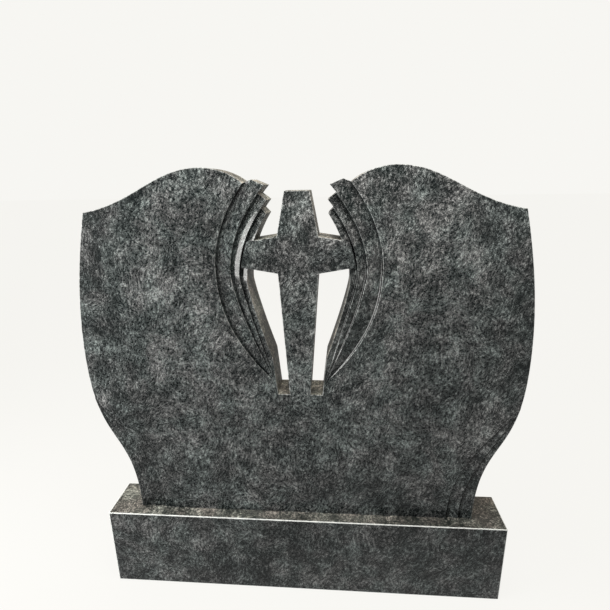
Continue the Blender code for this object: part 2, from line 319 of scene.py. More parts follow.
def granite(name, look, arris_hone_and_highlight_strength):
    """Polished dark granite.

    tone = middle + wisps + threads + speckle + clouds + drifts, each a noise less its mean times
    a weight. Wisps and threads read a place stretched along the grain, which slow noise bends.
    The tone picks the colour, and slower noise tints it towards green or brown. The wear attribute
    then lightens the arrises (a lighter honed edge and a painted highlight), darkens the grooves'
    steep sides with painted shade, and makes the cut sides lighter as honed stone, warmer with
    painted warm light from above, and less polished.
    """
    recipe = Recipe(name)
    place = recipe.node("TexCoord").outputs["Object"]
    bent = recipe.shifted(place, look.swirl_scale, look.swirl_reach)
    bent = recipe.shifted(bent, look.curl_scale, look.curl_reach)
    grain = recipe.node("Mapping", {"vector_type": "TEXTURE"}, {
        "Vector": bent,
        "Rotation": (0.0, look.grain_turn, 0.0),
        "Scale": (look.grain_stretch, 1.0, 1.0),
    }).outputs[0]
    wisps = recipe.noise(grain, look.wisp_scale, *WISP_NOISE)
    fine = recipe.noise(grain, look.thread_scale, *THREAD_NOISE)
    threads = (1.0 - abs(fine - 0.5) * look.thread_sharpness).clamped()
    speckle = recipe.noise(bent, look.speckle_scale, *SPECKLE_NOISE)
    clouds = recipe.noise(bent, look.cloud_scale, *CLOUD_NOISE)
    drifts = recipe.noise(place, look.drift_scale)
    tone = (
        look.middle
        + (wisps - 0.5) * look.wisp_weight
        + (threads - 0.5) * look.thread_weight
        + (speckle - 0.5) * look.speckle_weight
        + (clouds - 0.5) * look.cloud_weight
        + (drifts - 0.5) * look.drift_weight
    ).clamped()
    stops = list(zip(TONE_STOPS, (look.dark, look.low, look.ground, look.high, look.light)))
    stone = recipe.node("ValToRGB", {"stops": stops}, {"Fac": tone}).outputs[0]
    hue = ((recipe.noise(bent, look.tint_scale) - 0.5) * TINT_CONTRAST + 0.5).clamped()
    tint = recipe.mixed(hue, (*look.green_tint, 1.0), (*look.brown_tint, 1.0))
    stone = recipe.mixed(1.0, stone, tint, "MULTIPLY")

    wear = recipe.node("Attribute", {"attribute_name": "wear"}).outputs["Vector"]
    arris, groove, side = recipe.parts(wear)
    # Cut sides: lighter as honed stone, and warmer with painted warm light from above
    side_honed_and_painted_warm_tint = recipe.mixed(side, WHITE, (*look.side_honed_and_painted_warm_tint, 1.0))
    stone = recipe.mixed(1.0, stone, side_honed_and_painted_warm_tint, "MULTIPLY")
    # Painted shade: the steep sides of the grooves, and faintly their slopes, are darkened
    groove_painted_shade = recipe.mixed(groove, WHITE, (*look.groove_painted_shade, 1.0))
    stone = recipe.mixed(1.0, stone, groove_painted_shade, "MULTIPLY")
    # A light line on the arrises: a lighter honed edge, and a painted highlight
    arris_hone_and_highlight_share = (arris * (arris_hone_and_highlight_strength + (wisps - 0.5) * ARRIS_CONTRAST)).clamped()
    stone = recipe.mixed(arris_hone_and_highlight_share, stone, (*look.arris_hone_and_highlight_colour, 1.0))
    recipe.feed(recipe.shader.inputs["Base Color"], stone)
    rough = look.roughness + (speckle - 0.5) * look.roughness_range
    rough = (rough + (side + arris) * look.side_roughness).clamped()
    recipe.feed(recipe.shader.inputs["Roughness"], rough)
    recipe.shader.inputs["Specular IOR Level"].default_value = look.specular
    bump = recipe.node("Bump", inputs={
        "Strength": look.bump_strength,
        "Distance": look.bump_distance,
        "Height": wisps + speckle,
    })
    recipe.feed(recipe.shader.inputs["Normal"], bump.outputs[0])
    return recipe.material


def size(name, description, default):
    """A length property in metres."""
    return FloatProperty(name=name, description=description, default=default, min=0.0,
                         subtype="DISTANCE", unit="LENGTH", precision=4)


def place(name, description, default):
    """A place in metres."""
    return FloatVectorProperty(name=name, description=description, default=default, size=3,
                               subtype="TRANSLATION", unit="LENGTH", precision=4)


def number(name, description, default):
    """A plain number property."""
    return FloatProperty(name=name, description=description, default=default)


def colour(name, description, default):
    """A colour property."""
    return FloatVectorProperty(name=name, description=description, default=default,
                               subtype="COLOR", size=3, min=0.0, soft_max=1.0)


class HeadstoneGranite(bpy.types.PropertyGroup):
    """Colours and grain of the granite."""

    dark: colour("Dark", "Darkest grains", (0.002, 0.003, 0.003))
    low: colour("Low", "Darker ground", (0.004, 0.0055, 0.0055))
    ground: colour("Ground", "Middle ground", (0.0185, 0.0203, 0.0203))
    high: colour("High", "Lighter ground", (0.054, 0.058, 0.0575))
    light: colour("Light", "Lightest grains", (0.15, 0.159, 0.156))
    green_tint: colour("Green tint", "Multiplies the cooler patches", (0.93, 1.0, 0.995))
    brown_tint: colour("Brown tint", "Multiplies the warmer patches", (1.0, 0.965, 0.975))
    # Cut sides: lighter as honed stone, and warmer with painted warm light from above
    side_honed_and_painted_warm_tint: colour("Side tint", "Multiplies the honed cut sides", (2.3, 2.02, 1.74))
    # Painted shade that darkens the steep sides of the grooves
    groove_painted_shade: colour("Groove tint", "Multiplies the steep sides of the grooves",
                        (0.30, 0.32, 0.32))
    # Light line along the arrises: a lighter honed edge, and a painted highlight
    arris_hone_and_highlight_colour: colour("Arris colour", "Light line along the arrises", (0.32, 0.335, 0.33))
    slab_arris_hone_and_highlight: number("Slab arris light", "Light line along the slab's arrises", 0.22)
    base_arris_hone_and_highlight: number("Base arris light", "Light line along the base's arrises", 0.9)
    side_roughness: number("Side roughness", "Roughness added on cut sides and arrises", 0.45)
    middle: number("Middle", "Mean tone", 0.5)
    swirl_scale: number("Swirl scale", "How closely the large bends of the grain lie", 5.0)
    swirl_reach: size("Swirl reach", "How far the large bends move the grain", 0.08)
    curl_scale: number("Curl scale", "How closely the small bends of the grain lie", 30.0)
    curl_reach: size("Curl reach", "How far the small bends move the grain", 0.015)
    grain_turn: FloatProperty(name="Grain turn", description="Lean of the grain",
                              default=-1.22, subtype="ANGLE", unit="ROTATION")
    grain_stretch: number("Grain stretch", "Length of a grain over its width", 1.6)
    wisp_scale: number("Wisp scale", "How closely the wisps lie", 185.0)
    thread_scale: number("Thread scale", "How closely the thin threads lie", 230.0)
    thread_sharpness: number("Thread sharpness", "How thin the threads are", 8.0)
    speckle_scale: number("Speckle scale", "How closely the specks lie", 470.0)
    cloud_scale: number("Cloud scale", "How closely the clouds lie", 26.0)
    drift_scale: number("Drift scale", "How closely the large drifts lie", 6.0)
    tint_scale: number("Tint scale", "How closely the tinted patches lie", 18.0)
    wisp_weight: number("Wisp weight", "Strength of the wisps", 1.55)
    thread_weight: number("Thread weight", "Strength of the threads", 0.16)
    speckle_weight: number("Speckle weight", "Strength of the specks", 1.15)
    cloud_weight: number("Cloud weight", "Strength of the clouds", 0.92)
    drift_weight: number("Drift weight", "Strength of the drifts", 0.45)
    roughness: number("Roughness", "Roughness of the polish", 0.16)
    roughness_range: number("Roughness range", "How much the roughness varies", 0.10)
    specular: number("Specular", "Strength of the polish's reflection", 0.16)
    bump_strength: number("Bump strength", "Strength of the fine relief", 0.12)
    bump_distance: size("Bump distance", "Height of the fine relief", 0.0002)


class HeadstoneStage(bpy.types.PropertyGroup):
    """Camera, floor and light."""

    camera_place: place("Camera place", "Where the camera stands", (0.0837, -0.9376, 1.0323))
    camera_turn: FloatVectorProperty(name="Camera turn", description="Pitch, roll and yaw",
                                     default=(-0.27933, 0.014617, 0.07615), size=3,
                                     subtype="EULER", unit="ROTATION")
    focal_pixels: number("Focal length", "Focal length in pixels of the square image", 430.0)
    floor_size: size("Floor size", "Length of the floor's sides", 60.0)
    floor_colour: colour("Floor colour", "What the floor adds from the lights",
                         (0.02, 0.0203, 0.0206))
    floor_glow: colour("Floor glow", "Even light from the floor", (0.892, 0.885, 0.854))
    horizon_colour: colour("Horizon colour", "Light from the sides", (0.93, 0.922, 0.89))
    zenith_colour: colour("Zenith colour", "Light from above", (2.35, 1.95, 1.52))
    front_colour: colour("Front colour", "Light from in front", (0.15, 0.15, 0.155))
    front_dimming: number("Front dimming", "How fast the light falls off towards the front", 3.0)
    horizon_rise: number("Horizon rise", "How high the horizon's colour reaches", 0.34)
    key_power: FloatProperty(name="Key power", description="Power of the soft key light",
                             default=84.0, subtype="POWER", unit="POWER")
    key_colour: colour("Key colour", "Colour of the key light", (1.0, 0.98, 0.95))
    key_place: place("Key place", "Where the key light stands", (-1.42, -0.5, 0.95))
    key_target: place("Key target", "What the key light faces", (-0.15, 0.0, 0.5))
    key_size: size("Key size", "Length of the key light's sides", 1.0)
    top_power: FloatProperty(name="Top power", description="Power of the warm light from above",
                             default=29.0, subtype="POWER", unit="POWER")
    top_colour: colour("Top colour", "Colour of the light from above", (1.0, 0.96, 0.91))
    top_place: place("Top place", "Where the light from above stands", (0.2, -0.36, 1.6))
    top_target: place("Top target", "What the light from above faces", (0.2, 0.0, 1.0))
    top_size: size("Top size", "Length of the top light's sides", 0.7)


def new_object(name, data):
    """An object of the scene."""
    item = bpy.data.objects.new(name, data)
    bpy.context.scene.collection.objects.link(item)
    return item


class Shell:
    """Grids of points that are joined into one closed mesh, with marks of honing and painted light
    at each corner.

    A grid's cells become faces. Each grid has its own kind, and edges between kinds stay sharp.
    The marks hold three numbers: how much of a light arris (honed edge and painted highlight), of a
    groove's painted shade and of a cut side's honed tone with painted warm light a place has.
    """

    def __init__(self):
        self.points = []
        self.faces = []
        self.wear = []
        self.kinds = []
        self.count = 0
        self.last_kind = 0

    def add(self, grid, wear=NO_MARKS, kinds=None):
        """Add a grid of shape (rows, columns, 3); kinds may give each cell its own number."""
        rows, columns = grid.shape[:2]
        index = np.arange(rows * columns).reshape(rows, columns) + self.count
        corners = (index[:-1, :-1], index[:-1, 1:], index[1:, 1:], index[1:, :-1])
        self.faces.append(np.stack(corners, axis=-1).reshape(-1, 4))
        self.points.append(grid.reshape(-1, 3))
        self.wear.append(np.broadcast_to(np.asarray(wear, float), grid.shape).reshape(-1, 3))
        cells = np.zeros((rows - 1, columns - 1), int) if kinds is None else kinds
        self.kinds.append(cells.reshape(-1) + self.last_kind + 1)
        self.last_kind += int(cells.max()) + 1
        self.count += rows * columns

    def mirrored(self):
        """Add the same grids on the other side of the centre line."""
        points = np.concatenate(self.points) * (-1.0, 1.0, 1.0)
        self.faces.append(np.concatenate(self.faces)[:, ::-1] + self.count)
        self.points.append(points)
        self.wear.append(np.concatenate(self.wear))
        self.kinds.append(np.concatenate(self.kinds) + self.last_kind)
        self.last_kind *= 2
        self.count *= 2

    def place(self, rule):
        """Turn all points by a rule for the whole array."""
        self.points = [rule(np.concatenate(self.points))]

    def mesh(self, name, weld):
        """The welded mesh, smooth within each kind, with the marks of honing and painted light as
        its corners' attribute.
        """
        points = np.concatenate(self.points)
        faces = np.concatenate(self.faces)
        mesh = bpy.data.meshes.new(name)
        mesh.from_pydata(points.tolist(), [], faces.tolist())
        wear = mesh.attributes.new("wear", "FLOAT_VECTOR", "CORNER")
        wear.data.foreach_set("vector", np.concatenate(self.wear)[faces.ravel()].ravel())
        kind = mesh.attributes.new("kind", "INT", "FACE")
        kind.data.foreach_set("value", np.concatenate(self.kinds))
        welded = bmesh.new()
        welded.from_mesh(mesh)
        bmesh.ops.remove_doubles(welded, verts=welded.verts, dist=weld)
        bmesh.ops.recalc_face_normals(welded, faces=welded.faces)
        welded.to_mesh(mesh)
        welded.free()
        sharpen(mesh)
        return mesh


def sharpen(mesh):
    """Mark each edge sharp whose two faces are of different kinds, and shade all faces smooth."""
    kinds = np.zeros(len(mesh.polygons), np.int32)
    mesh.attributes["kind"].data.foreach_get("value", kinds)
    sides = np.zeros(len(mesh.polygons), np.int32)
    mesh.polygons.foreach_get("loop_total", sides)
    edges = np.zeros(len(mesh.loops), np.int32)
    mesh.loops.foreach_get("edge_index", edges)
    of_loops = np.repeat(kinds, sides)
    lowest = np.full(len(mesh.edges), kinds.max() + 1)
    highest = np.full(len(mesh.edges), -1)
    np.minimum.at(lowest, edges, of_loops)
    np.maximum.at(highest, edges, of_loops)
    mesh.shade_smooth()
    sharp = mesh.attributes.new("sharp_edge", "BOOLEAN", "EDGE")
    sharp.data.foreach_set("value", lowest != highest)
    mesh.attributes.remove(mesh.attributes["kind"])
    mesh.update()


def ruled(first, second, shares):
    """Straight lines between two curves: point = first + (second - first) * share."""
    return first[:, None] + (second - first)[:, None] * np.asarray(shares)[None, :, None]


def curve(offsets, heights, depths=0.0):
    """A curve of the slab from its offsets, heights and depths behind the front face."""
    axes = (np.asarray(values, float) for values in (offsets, heights, depths))
    return np.stack(np.broadcast_arrays(*axes), -1)


def bezier(start, start_handle, end_handle, end, steps):
    """Cubic curve: the four points weighted by (1-t)^3, 3t(1-t)^2, 3t^2(1-t) and t^3."""
    t = np.linspace(0.0, 1.0, steps + 1)[:, None]
    weights = ((1 - t) ** 3, 3 * t * (1 - t) ** 2, 3 * t * t * (1 - t), t ** 3)
    knots = (start, start_handle, end_handle, end)
    return sum(weight * np.asarray(knot) for weight, knot in zip(weights, knots))


def slot_wall(height):
    """Offset of the slot's straight outer wall: foot + (height - sill) * slope."""
    reach = SLOT_CORNER_OFFSET - SLOT_FOOT_OFFSET
    return SLOT_FOOT_OFFSET + (height - SILL_HEIGHT) * reach / SLOT_CORNER_RISE


def line_offset(line, height):
    """Offset of a carved line, above and below its widest place, the belly.

    offset = widest - (widest - end) * share ** power
    """
    steps = len(BAND_WIDTHS) - line
    height = np.minimum(np.asarray(height, float), LINE_ENDS[line])
    widest = INNER_BELLY_OFFSET + sum(BAND_WIDTHS[line:])
    middle = INNER_BELLY_HEIGHT + steps * BELLY_STEP
    top_offset, top_height = LINE_TOPS[line]
    above = np.clip((height - middle) / (top_height - middle), 0.0, None)
    upper = widest - (widest - top_offset) * above ** UPPER_POWER
    if steps == 0:
        root_offset, root_height = SLOT_CORNER_OFFSET, SILL_HEIGHT + SLOT_CORNER_RISE
    else:
        root_offset, root_height = slot_wall(ROOT_HEIGHT) + steps * ROOT_STEP, ROOT_HEIGHT
    below = np.clip((middle - height) / (middle - root_height), 0.0, 1.0)
    lower = widest - (widest - root_offset) * below ** LINE_LOWER_POWERS[line]
    lower = np.where((steps == 0) & (height < root_height), slot_wall(height), lower)
    return np.where(height > middle, upper, lower)


def climb_at(height):
    """How far up the bands a height lies, from 0 at their roots to 1 at the first peak."""
    return np.clip((height - ROOT_HEIGHT) / (FIRST_END_PEAK[1] - ROOT_HEIGHT), 0.0, 1.0)


def blend(low, high, share):
    """low + (high - low) * share."""
    return low + (high - low) * share


def dip_width(band, height):
    """Width of a dip's steep side, at most half of its band."""
    gap = line_offset(band, height) - line_offset(band + 1, height)
    return np.minimum(blend(ROOT_WIDTHS[band], DIP_WIDTHS[band], climb_at(height)), gap * DIP_SHARE)


def start_fade(height):
    """Rises from 0 at the bands' roots to 1 a little above them."""
    return np.clip(climb_at(height) / START_REACH, 0.0, 1.0)


def dip_depth(band, height):
    """Depth of a band's dip: root + (top - root) * share ** power, faded in at the root."""
    share = climb_at(height)
    fade = np.minimum(1.0, ROOT_FADE + share / ROOT_FADE_REACH) * start_fade(height)
    return blend(ROOT_DEPTHS[band], DIP_DEPTHS[band], share ** DIP_POWER) * fade


def line_depth(line, height):
    """Depth of a carved line's own edge: none at the first, then ridge + edge * share ** power."""
    if line == 0:
        return np.zeros_like(height)
    deep = RIDGE_DEPTH + EDGE_DEPTHS[line - 1] * climb_at(height) ** EDGE_POWER
    return deep * start_fade(height)


def arm_edge(offset, level, slope):
    """Height of an arm's upper or lower edge: level + (offset - crossing) * slope."""
    return level + (offset - CROSSING_HALF_WIDTH) * slope


def meeting(place, level, slope):
    """Offset and height at which an arm's edge meets a curve that gives an offset for a height."""
    height = level
    for _ in range(MEET_PASSES):
        height = arm_edge(place(height), level, slope)
    return float(place(height)), float(height)


def keeper_offset(height):
    """Offset of the arm's square end, at the foot of the last band's steep side."""
    last = len(BAND_WIDTHS) - 1
    return line_offset(last, height) - dip_width(last, height)


def inner_offset(height):
    """Offset of the innermost carved line."""
    return line_offset(len(BAND_WIDTHS), height)


def end_of_dip(band, start, finish):
    """Height at which a band's dip meets the straight edge between two points of its end."""
    height = start[1]
    for _ in range(MEET_PASSES):
        offset = line_offset(band, height) - dip_width(band, height)
        height = start[1] + (finish[1] - start[1]) * (start[0] - offset) / (start[0] - finish[0])
    return float(height)


def band_rows():
    """Heights of the rows on each line and in each dip, shared by the bands on either side.

    The rows pass through the arm's two edges and the ends of the three bands, and are spread
    evenly between these.
    """
    under = (ARM_UNDER_HEIGHT, ARM_UNDER_SLOPE)
    top = (ARM_TOP_HEIGHT, -ARM_TOP_SLOPE)
    low, high = (meeting(keeper_offset, *edge)[1] for edge in (under, top))
    inner_low, inner_high = (meeting(inner_offset, *edge)[1] for edge in (under, top))
    second, third = LINE_TOPS[1][1], LINE_TOPS[2][1]

    def point(line, height):
        """A point of a carved line."""
        return float(line_offset(line, height)), height

    dips = (
        end_of_dip(0, LINE_TOPS[0], FIRST_END_PEAK),
        end_of_dip(1, point(1, second), point(2, LINE_ENDS[2])),
        end_of_dip(2, point(2, third), point(3, LINE_ENDS[3])),
    )
    ends = {
        "line0": (low, high, *(blend(high, LINE_ENDS[0], share) for share in FIRST_END_SHARES),
                  LINE_ENDS[0]),
        "dip0": (low, high, *(blend(high, dips[0], share) for share in FIRST_END_SHARES), dips[0]),
        "line1": (low, high, blend(high, second, SECOND_LINE_SHARE), second, LINE_ENDS[1]),
        "dip1": (low, high, blend(high, dips[1], SECOND_DIP_SHARE), dips[1]),
        "line2": (low, high, third, LINE_ENDS[2]),
        "dip2": (low, high, dips[2]),
        "line3": (inner_low, inner_high, LINE_ENDS[3]),
    }
    stops = np.cumsum((0,) + ROW_COUNTS)
    rows = {}
    for name, heights in ends.items():
        heights = (ROOT_HEIGHT, *heights)
        last = stops[len(heights) - 1]
        rows[name] = np.interp(np.arange(last + 1), stops[:len(heights)], heights)
    return rows, stops


def coved(start, foot):
    """A steep side: its depth follows the sine of a quarter turn, so its foot is a cove."""
    steep = ruled(start, foot, STEEP_SHARES)
    steep[..., 2] = ruled(start, foot, np.sin(np.asarray(STEEP_SHARES) * pi / 2))[..., 2]
    return steep


def band_grids(rows):
    """Each band's steep side and slope: ruled between line, dip and next line."""
    grids = []
    for band in range(len(BAND_WIDTHS)):
        outer, dip, inner = rows[f"line{band}"], rows[f"dip{band}"], rows[f"line{band + 1}"]
        count = len(dip)
        outer, inner = outer[:count], inner[:count]
        outer_curve = curve(line_offset(band, outer), outer, line_depth(band, outer))
        place = line_offset(band, dip) - dip_width(band, dip)
        dip_curve = curve(place, dip, dip_depth(band, dip))
        inner_curve = curve(line_offset(band + 1, inner), inner, line_depth(band + 1, inner))
        slope = ruled(dip_curve, inner_curve, SLOPE_SHARES)
        if band == 0:
            # The first band's end rises to a peak between its dip and the second line
            middle = slope[-1, len(SLOPE_SHARES) // 2]
            tent = 1.0 - abs(np.asarray(SLOPE_SHARES) * 2 - 1)
            last_rows = ROW_COUNTS[-1]
            late = np.clip((np.arange(count) - count + 1 + last_rows) / last_rows, 0.0, 1.0)
            lift = np.asarray(FIRST_END_PEAK) - middle[:2]
            slope[..., :2] += late[:, None, None] * tent[None, :, None] * lift
        grids.append((coved(outer_curve, dip_curve), slope))
    return grids


def lengths_along(path):
    """The way along a path from its start to each of its points."""
    steps = np.linalg.norm(np.diff(path, axis=0), axis=1)
    return np.concatenate(([0.0], np.cumsum(steps)))


def resampled(path, guide, corner):
    """As many points of a path as a guide has, spread like them; one lies on the path's corner."""
    along, shares = lengths_along(path), lengths_along(guide)
    shares = shares / shares[-1]
    nearest = np.argmin(np.abs(shares - along[corner] / along[-1]))
    shares[nearest] = along[corner] / along[-1]
    places = shares * along[-1]
    return np.stack([np.interp(places, along, path[:, axis]) for axis in range(path.shape[1])], -1)


def offset_on(path, heights):
    """The offsets at which a path passes some heights."""
    return np.interp(heights, path[:, 1], path[:, 0])


def flank_path():
    """The outer edge from the foot over the widest place to the shoulder corner."""
    bulge = (BULGE_HALF_WIDTH, BULGE_HEIGHT)
    shoulder = (SHOULDER_HALF_WIDTH, SHOULDER_HEIGHT)
    lean = SHOULDER_DROP * SHOULDER_LEAN
    lower = bezier((FOOT_HALF_WIDTH, 0.0), (FOOT_HALF_WIDTH, FOOT_RISE),
                   (bulge[0], bulge[1] - BULGE_DROP), bulge, CURVE_STEPS)
    upper = bezier(bulge, (bulge[0], bulge[1] + BULGE_RISE),
                   (shoulder[0] + lean, shoulder[1] - SHOULDER_DROP), shoulder, CURVE_STEPS)
    return np.concatenate((lower, upper[1:]))


def crest_path():
    """The wing's top from the shoulder corner over the crest to the first notch."""
    shoulder = (SHOULDER_HALF_WIDTH, SHOULDER_HEIGHT)
    crest = (CREST_OFFSET, CREST_HEIGHT)
    notch = LINE_TOPS[0]
    outer = bezier(shoulder, (shoulder[0] - SHOULDER_REACH, shoulder[1] + SHOULDER_SWEEP),
                   (crest[0] + CREST_OUTER_REACH, crest[1]), crest, CURVE_STEPS)
    inner = bezier(crest, (crest[0] - CREST_INNER_REACH, crest[1]),
                   (notch[0] + NOTCH_REACH, notch[1] + NOTCH_LIFT), notch, CURVE_STEPS)
    return np.concatenate((outer, inner[1:]))


def flank_line(index):
    """A carved line at the flank's foot, up to where it meets the outer edge."""
    meet = offset_on(flank_path(), FLANK_MEET_HEIGHT)
    foot = FOOT_HALF_WIDTH - FLANK_LINE_INSETS[index]
    turn = (BULGE_HALF_WIDTH - FLANK_TURN_INSETS[index], FLANK_TURN_HEIGHTS[index])
    return bezier((foot, 0.0), (foot, FLANK_LINE_RISES[index]), turn, (meet, FLANK_MEET_HEIGHT),
                  CURVE_STEPS)


def joined(*parts):
    """Paths end to end, each next one without its first point where that repeats."""
    path = parts[0]
    for part in parts[1:]:
        same = np.allclose(path[-1, :3], part[0, :3], atol=SAME_POINT)
        path = np.concatenate((path, part[1:] if same else part))
    return path


def outward(path, closed, turn):
    """Mitred normals of a path: (n1 + n2) / (1 + n1 . n2), and where the path turns a corner."""
    after = np.roll(path, -1, axis=0) - path
    before = path - np.roll(path, 1, axis=0)
    if not closed:
        after[-1], before[0] = before[-1], after[0]
    normals = []
    for step in (before, after):
        length = np.maximum(np.linalg.norm(step, axis=1, keepdims=True), SAME_POINT)
        normals.append(np.stack((step[:, 1], -step[:, 0]), -1) / length * turn)
    dot = (normals[0] * normals[1]).sum(axis=1, keepdims=True)
    mitred = (normals[0] + normals[1]) / np.maximum(1.0 + dot, MITRE_LIMIT)
    return mitred, dot[:, 0] < CORNER_COSINE


def rim(shell, path, closed, turn, middle):
    """The side of the slab along a path: a quarter-round arris, the wall, and an arris behind.

    The path's fourth column is the arris's radius r. At angle a the arris lies r (1 - sin a)
    inwards and r (1 - cos a) deep. The wall has a row at the middle depth, where the step beside
    the arm ends. Returns how each point of the path moves inwards.
    """
    normals, corners = outward(path[:, :2], closed, turn)
    radius = path[:, 3:]
    sections = np.cumsum(corners if closed else corners[:-1])[:, None]
    angles = np.linspace(0.0, pi / 2, ARRIS_STEPS + 1)
    inset = radius * (1.0 - np.sin(angles))
    front = path[:, 2:3] + radius * (1.0 - np.cos(angles))
    back = SLAB_THICKNESS - radius * (1.0 - np.cos(angles))
    wall = np.concatenate((front[:, -1:], np.maximum(front[:, -1:], middle), back[:, -1:]), axis=1)
    # The arrises get the light line (honed edge and painted highlight); the wall gets the cut
    # side's honed tone with painted warm light
    for insets, depths, wear in (
        (inset, front, ARRIS_HONE_AND_PAINTED_HIGHLIGHT),
        (0.0 * wall, wall, SIDE_HONE_AND_PAINTED_WARM_LIGHT),
        (inset[:, ::-1], back[:, ::-1], ARRIS_HONE_AND_PAINTED_HIGHLIGHT),
    ):
        flat = path[:, None, :2] - insets[..., None] * normals[:, None]
        grid = np.concatenate((flat, depths[..., None]), axis=-1)
        if closed:
            grid = np.concatenate((grid, grid[:1]))
        shell.add(grid, wear, np.broadcast_to(sections, (grid.shape[0] - 1, grid.shape[1] - 1)))
    return -radius * normals


def moved(points, columns, loops):
    """Points moved where they lie on a loop, by its shift; the first columns are compared."""
    places = np.concatenate([points[:, :columns]] + [loop[:, :columns] for loop, _ in loops])
    cells = np.round(places / SAME_POINT).astype(np.int64)
    _, index = np.unique(cells, axis=0, return_inverse=True)
    index = index.ravel()
    shifts = np.zeros((index.max() + 1, 2))
    shifts[index[len(points):]] = np.concatenate([shift for _, shift in loops])
    result = points.copy()
    result[:, :2] += shifts[index[:len(points)]]
    return result


def with_radius(points, radius):
    """A curve with the radius of its arris as a fourth column."""
    column = np.broadcast_to(np.asarray(radius, float), len(points))[:, None]
    return np.concatenate((points, column), axis=1)


def flank_grids(heights):
    """The two carved lines at the flank's foot: two steep sides, each with its slope.

    Also gives the first line's offsets, where the plain face ends.
    """
    lines = (flank_line(0), flank_line(1), flank_path())
    first, second, outer = (offset_on(line, heights) for line in lines)
    second = np.clip(second, first, outer)
    share = np.clip(1.0 - heights / FLANK_MEET_HEIGHT, 0.0, 1.0)
    depth = FLANK_DIP_DEPTH * share ** FLANK_FADE_POWER
    ridge = RIDGE_DEPTH * np.minimum(1.0, share / START_REACH)
    grids = []
    for low, high, edge in ((first, second, 0.0 * ridge), (second, outer, ridge)):
        width = np.minimum(FLANK_DIP_WIDTH, (high - low) * DIP_SHARE)
        dip = curve(low + width, heights, depth)
        steep = coved(curve(low, heights, edge), dip)
        grids += [steep, ruled(dip, curve(high, heights, ridge), SLOPE_SHARES)]
    return grids, first


